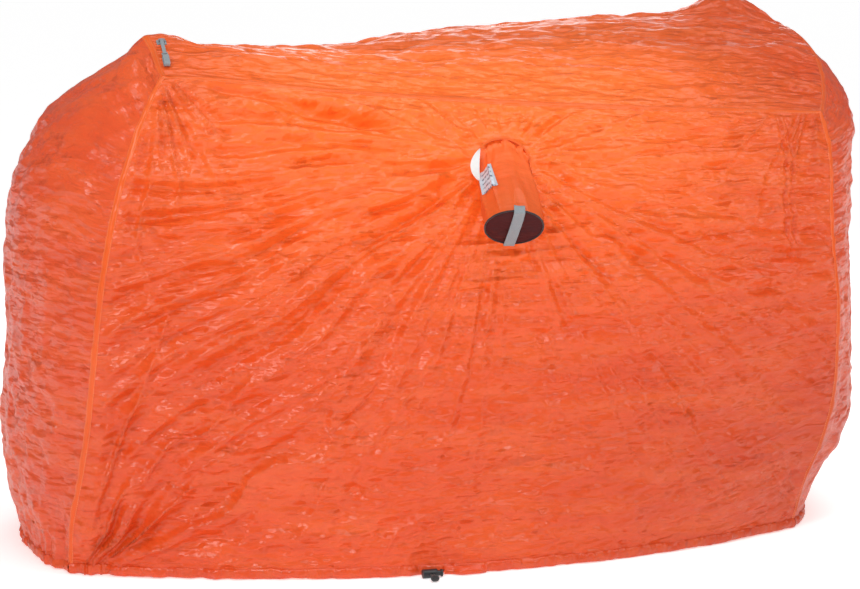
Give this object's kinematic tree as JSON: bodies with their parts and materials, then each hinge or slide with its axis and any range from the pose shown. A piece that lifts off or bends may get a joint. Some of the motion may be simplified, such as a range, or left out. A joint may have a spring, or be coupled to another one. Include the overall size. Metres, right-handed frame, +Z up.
{
  "type": "group emergency shelter",
  "caption": "Box-shaped open-bottomed nylon group shelter held up from inside, with a sewn-on stuff sack, hem drawcord with toggle, and pole loops.",
  "frame": {"origin": "centre of the footprint box on the ground", "axes": "+X along the long side to the right seen from the stuff sack's side, front with the stuff sack faces -Y, +Z up"},
  "size_m": [1.489, 0.7421, 0.9144],
  "materials": {
    "ripstop_nylon": "crinkled coated ripstop nylon",
    "seam_tape": "folded and stitched nylon",
    "base_cloth": "matt coated cloth",
    "piping": "woven binding",
    "grey_webbing": "woven webbing",
    "printed_label": "satin, plain stripes",
    "care_label": "satin",
    "black_cord": "braided",
    "eyelet_metal": "plated",
    "black_plastic": "moulded",
    "spring_steel": "drawn wire"
  },
  "bodies": {
    "shelter": {"care_label": "care_label", "front_hem_casing": "seam_tape", "front_left_corner_seam": "seam_tape", "front_panel": "ripstop_nylon", "front_right_corner_seam": "seam_tape", "front_roof_seam": "seam_tape", "hem_drawcord": "black_cord", "hem_drawcord_knot": "black_cord", "hem_exit_eyelets": "eyelet_metal", "hem_exit_flap": "seam_tape", "left_end_hem_casing": "seam_tape", "left_end_panel": "ripstop_nylon", "left_end_roof_seam": "seam_tape", "left_pole_anchor": "grey_webbing", "rear_hem_casing": "seam_tape", "rear_left_corner_seam": "seam_tape", "rear_panel": "ripstop_nylon", "rear_right_corner_seam": "seam_tape", "rear_roof_seam": "seam_tape", "right_end_hem_casing": "seam_tape", "right_end_panel": "ripstop_nylon", "right_end_roof_seam": "seam_tape", "right_pole_anchor": "grey_webbing", "roof_panel": "ripstop_nylon", "sack_port_binding": "seam_tape"},
    "stuff_sack": {"sack_body": "ripstop_nylon", "sack_base": "base_cloth", "sack_base_piping": "piping", "sack_handle": "grey_webbing", "sack_label": "printed_label", "sack_side_seam": "seam_tape", "sack_mouth_binding": "seam_tape"},
    "left_tape": {"left_pole_tape": "grey_webbing"},
    "left_tab": {"left_pole_tab": "grey_webbing"},
    "right_tape": {"right_pole_tape": "grey_webbing"},
    "right_tab": {"right_pole_tab": "grey_webbing"},
    "cord_lock": {"hem_lock_body": "black_plastic", "hem_lock_spring": "spring_steel"},
    "lock_plunger": {"hem_lock_plunger": "black_plastic"}
  },
  "joints": [
    {"name": "stuff_sack_swing", "type": "hinge", "parent": "shelter", "child": "stuff_sack", "pos_m": [0.04, -0.225, 0.7067], "axis": [-1, 0, 0], "range_deg": [0, 75]},
    {"name": "left_tape_lift", "type": "hinge", "parent": "shelter", "child": "left_tape", "pos_m": [-0.49392, -0.06974, 0.86534], "axis": [-1, 0, 0], "range_deg": [0, 120]},
    {"name": "left_tab_fold", "type": "hinge", "parent": "left_tape", "child": "left_tab", "pos_m": [-0.49395, -0.10423, 0.84508], "axis": [-1, 0, 0], "range_deg": [0, 100]},
    {"name": "right_tape_lift", "type": "hinge", "parent": "shelter", "child": "right_tape", "pos_m": [0.59995, 0.23718, 0.91065], "axis": [1, 0, 0], "range_deg": [0, 120]},
    {"name": "right_tab_fold", "type": "hinge", "parent": "right_tape", "child": "right_tab", "pos_m": [0.59991, 0.25343, 0.8741], "axis": [1, 0, 0], "range_deg": [0, 100]},
    {"name": "cord_lock_slide", "type": "slide", "parent": "shelter", "child": "cord_lock", "axis": [0, -1, 0], "range_m": [-0.003, 0.012]},
    {"name": "cord_lock_press", "type": "slide", "parent": "cord_lock", "child": "lock_plunger", "axis": [-1, 0, 0], "range_m": [0, 0.005], "stiffness_N_per_m": 400, "springref_m": -0.004, "deforming": ["hem_lock_spring"]}
  ]
}
